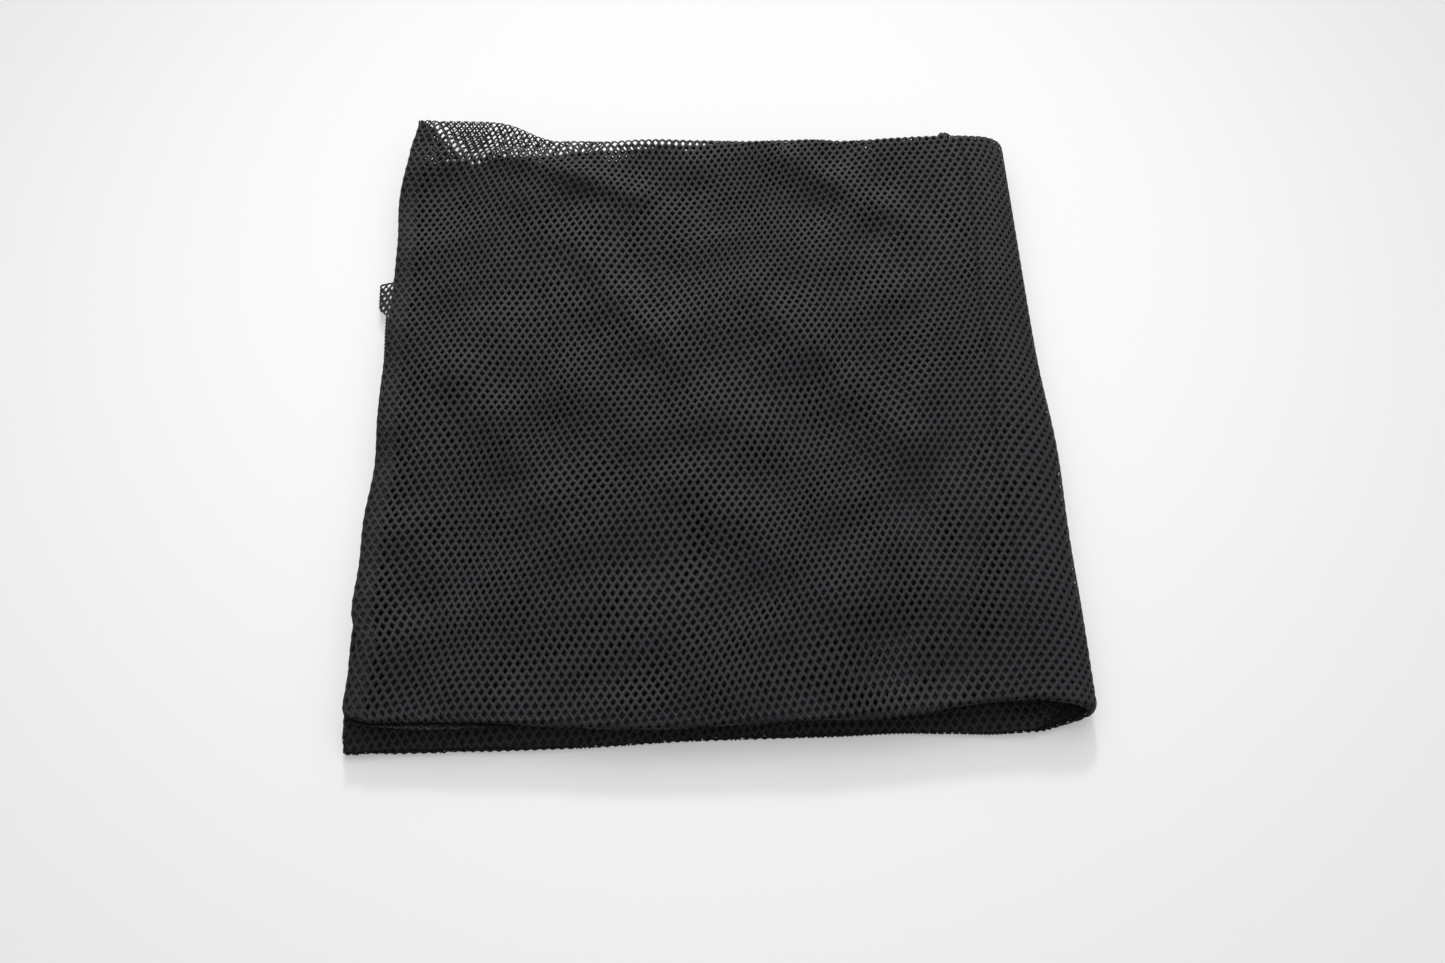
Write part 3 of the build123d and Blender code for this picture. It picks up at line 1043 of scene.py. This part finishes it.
def tab_surface(along, into):
    """The tab, followed along y and outwards from the open edge."""
    x = LEFT_X + left_edge_shift("lower", along, TAB_PLY)
    z = ply_height("lower", TAB_PLY, x, along)
    out = np.clip(into / TAB_REACH, 0, 1)
    wave = 0.25 * np.sin(along / 3.1) * out
    return np.stack([x - into, along, z - TAB_DROOP * smooth(out) + wave], axis=-1)


tab_rows = [round(y / ROW_PITCH / TAB_SCALE) for y in (TAB_FRONT, TAB_BACK)]
flat, crown, quads = knit(*cells(TAB_COLUMNS, tab_rows), 12, TAB_HOLES)
tab_y = np.clip(flat[:, 1] * TAB_SCALE, TAB_FRONT, TAB_BACK)
tab_out = np.minimum(flat[:, 0] * TAB_SCALE, tab_width(tab_y) - TAB_INSET)
centre, _, normal = frame_at(tab_surface, tab_y, tab_out)
tab_points = centre + normal * np.where(crown > 0.5, TAB_CROWN, TAB_HOLLOW)[:, None]
tab = make_mesh("side_seam_tab_lower", tab_points, quads, flat, TAB_LIGHT * crown)
finished(tab, "seam_mesh", "lower", "side_seam")

side_points, end_points = TAB_THREAD_POINTS
side_y = np.linspace(TAB_FRONT - 3, TAB_BACK, side_points)
edge_y = np.concatenate([side_y, np.full(end_points, TAB_BACK)])
edge_out = np.concatenate([tab_width(side_y), np.linspace(TAB_REACH, -0.5, end_points)])
phase = np.arange(side_points + end_points) * TAB_THREAD_TURN
zigzag = edge_out - TAB_THREAD_WIDTH * (0.5 + 0.5 * np.sin(phase))
centre, _, normal = frame_at(tab_surface, edge_y, zigzag)
tab_edge = centre + normal * (TAB_THREAD_RISE * np.cos(phase))[:, None]
tab_thread = make_mesh("side_seam_tab_thread_lower", *tubes([tab_edge], TAB_THREAD))
finished(tab_thread, "overlock_thread", "lower", "side_seam_thread")
seam_pieces["lower"] += [tab, tab_thread]

for panel in PANELS:
    for third in (MOUTH, MIDDLE, BASE, HEM):
        ply = PLY[panel][third]
        hem = third == HEM
        stem = panel.replace("panel", "mouth_hem") if hem else panel
        label = stem if hem else f"{panel}_{third}"
        fine = hem or ply in (1, OUTER_PLY)
        for part in PARTS:
            columns = columns_of(part, spine_columns(ply))
            piece, flat_size, area = cloth_piece(f"{label}_{part}", panel, third, columns, fine)
            finished(piece, "hem_mesh" if hem else "mesh", part, stem)


# Floor, light and camera

FLOOR_REACH = 3000
FLOOR_BRIGHTEST_Y = 130
FLOOR_FALL = (0.12, 0.54)   # metres from there, between which its light falls off
FLOOR_NEAR = (0.632, 0.628, 0.625)
FLOOR_FAR = (0.503, 0.499, 0.497)
# strength of the floor's painted glow, which lifts its shadows
FLOOR_GLOW = 0.42


def floor_material():
    """White paper, with painted light: its colour is brightest behind the bag and falls off all
    round, and a painted glow lifts its shadows.
    """
    material, tree, shader = blank_material("floor_white", 0.0)
    shader.inputs["Roughness"].default_value = 0.9
    centred = node(tree, "ShaderNodeVectorMath", operation="DISTANCE")
    tree.links.new(node(tree, "ShaderNodeTexCoord").outputs["Object"], centred.inputs[0])
    centred.inputs[1].default_value = (0.0, FLOOR_BRIGHTEST_Y * MM, 0.0)
    fall = spread(tree, centred.outputs["Value"], *FLOOR_FALL, kind="SMOOTHSTEP")
    white = mixed_colour(tree, fall, FLOOR_NEAR, FLOOR_FAR)
    tree.links.new(white, shader.inputs["Base Color"])
    # the painted glow: the floor gives off its own colour as light
    tree.links.new(white, shader.inputs["Emission Color"])
    shader.inputs["Emission Strength"].default_value = FLOOR_GLOW
    return material


corners = FLOOR_REACH * np.array([(-1, -1, 0), (1, -1, 0), (1, 1, 0), (-1, 1, 0)], float)
floor = make_mesh("floor", corners, [(0, 1, 2, 3)])
floor.data.materials.append(floor_material())

SOFTBOX_ELEVATION = math.radians(36)
SOFTBOX_EDGE = (0.72, 0.985)   # cosines, from its middle, of where it begins and is full
SOFTBOX = (3.4, 3.4, 3.45)
ROOM = (0.62, 0.62, 0.625)
HORIZON = (0.18, 0.18, 0.19)
HORIZON_RISE = (0.04, 0.6)

world = bpy.data.worlds.new("studio")
bpy.context.scene.world = world
world.use_nodes = True
sky = world.node_tree
toward = node(sky, "ShaderNodeTexCoord").outputs["Generated"]
heading = node(sky, "ShaderNodeSeparateXYZ")
sky.links.new(toward, heading.inputs[0])
softbox = node(sky, "ShaderNodeVectorMath", operation="DOT_PRODUCT")
sky.links.new(toward, softbox.inputs[0])
softbox.inputs[1].default_value = (0.0, math.cos(SOFTBOX_ELEVATION), math.sin(SOFTBOX_ELEVATION))
above = mixed_colour(sky, spread(sky, softbox.outputs["Value"], *SOFTBOX_EDGE), ROOM, SOFTBOX)
whole = mixed_colour(sky, spread(sky, heading.outputs["Z"], *HORIZON_RISE), HORIZON, above)
sky.links.new(whole, sky.nodes["Background"].inputs["Color"])
sky.nodes["Background"].inputs["Strength"].default_value = 0.98


BACK_LIGHT_ELEVATION = math.radians(28)
back_light = bpy.data.lights.new("back_light", "SUN")
back_light.energy = 1.45
back_light.angle = math.radians(6)
back_lamp = bpy.data.objects.new("back_light", back_light)
back_lamp.location = (0, 1, 0.6)
shining = Vector((0, -math.cos(BACK_LIGHT_ELEVATION), -math.sin(BACK_LIGHT_ELEVATION)))
back_lamp.rotation_euler = shining.to_track_quat("-Z", "Y").to_euler()
bpy.context.scene.collection.objects.link(back_lamp)

CAMERA_PLACE = (-1.0, -284.0, 495.0)
CAMERA_PITCH = 63.5       # degrees below the horizon
CAMERA_YAW = 1.31         # degrees to the right of +Y
FOCAL_SHARE = 0.83045     # focal length as a share of the picture's width

camera = bpy.data.cameras.new("camera")
camera.sensor_width = 36
camera.lens = camera.sensor_width * FOCAL_SHARE
view = bpy.data.objects.new("camera", camera)
view.location = (Vector(CAMERA_PLACE) + Vector((PACK_X, 0, 0))) * MM
view.rotation_euler = (math.radians(90 - CAMERA_PITCH), 0, math.radians(-CAMERA_YAW))
bpy.context.scene.collection.objects.link(view)
bpy.context.scene.camera = view
bpy.context.scene.view_settings.view_transform = "Standard"
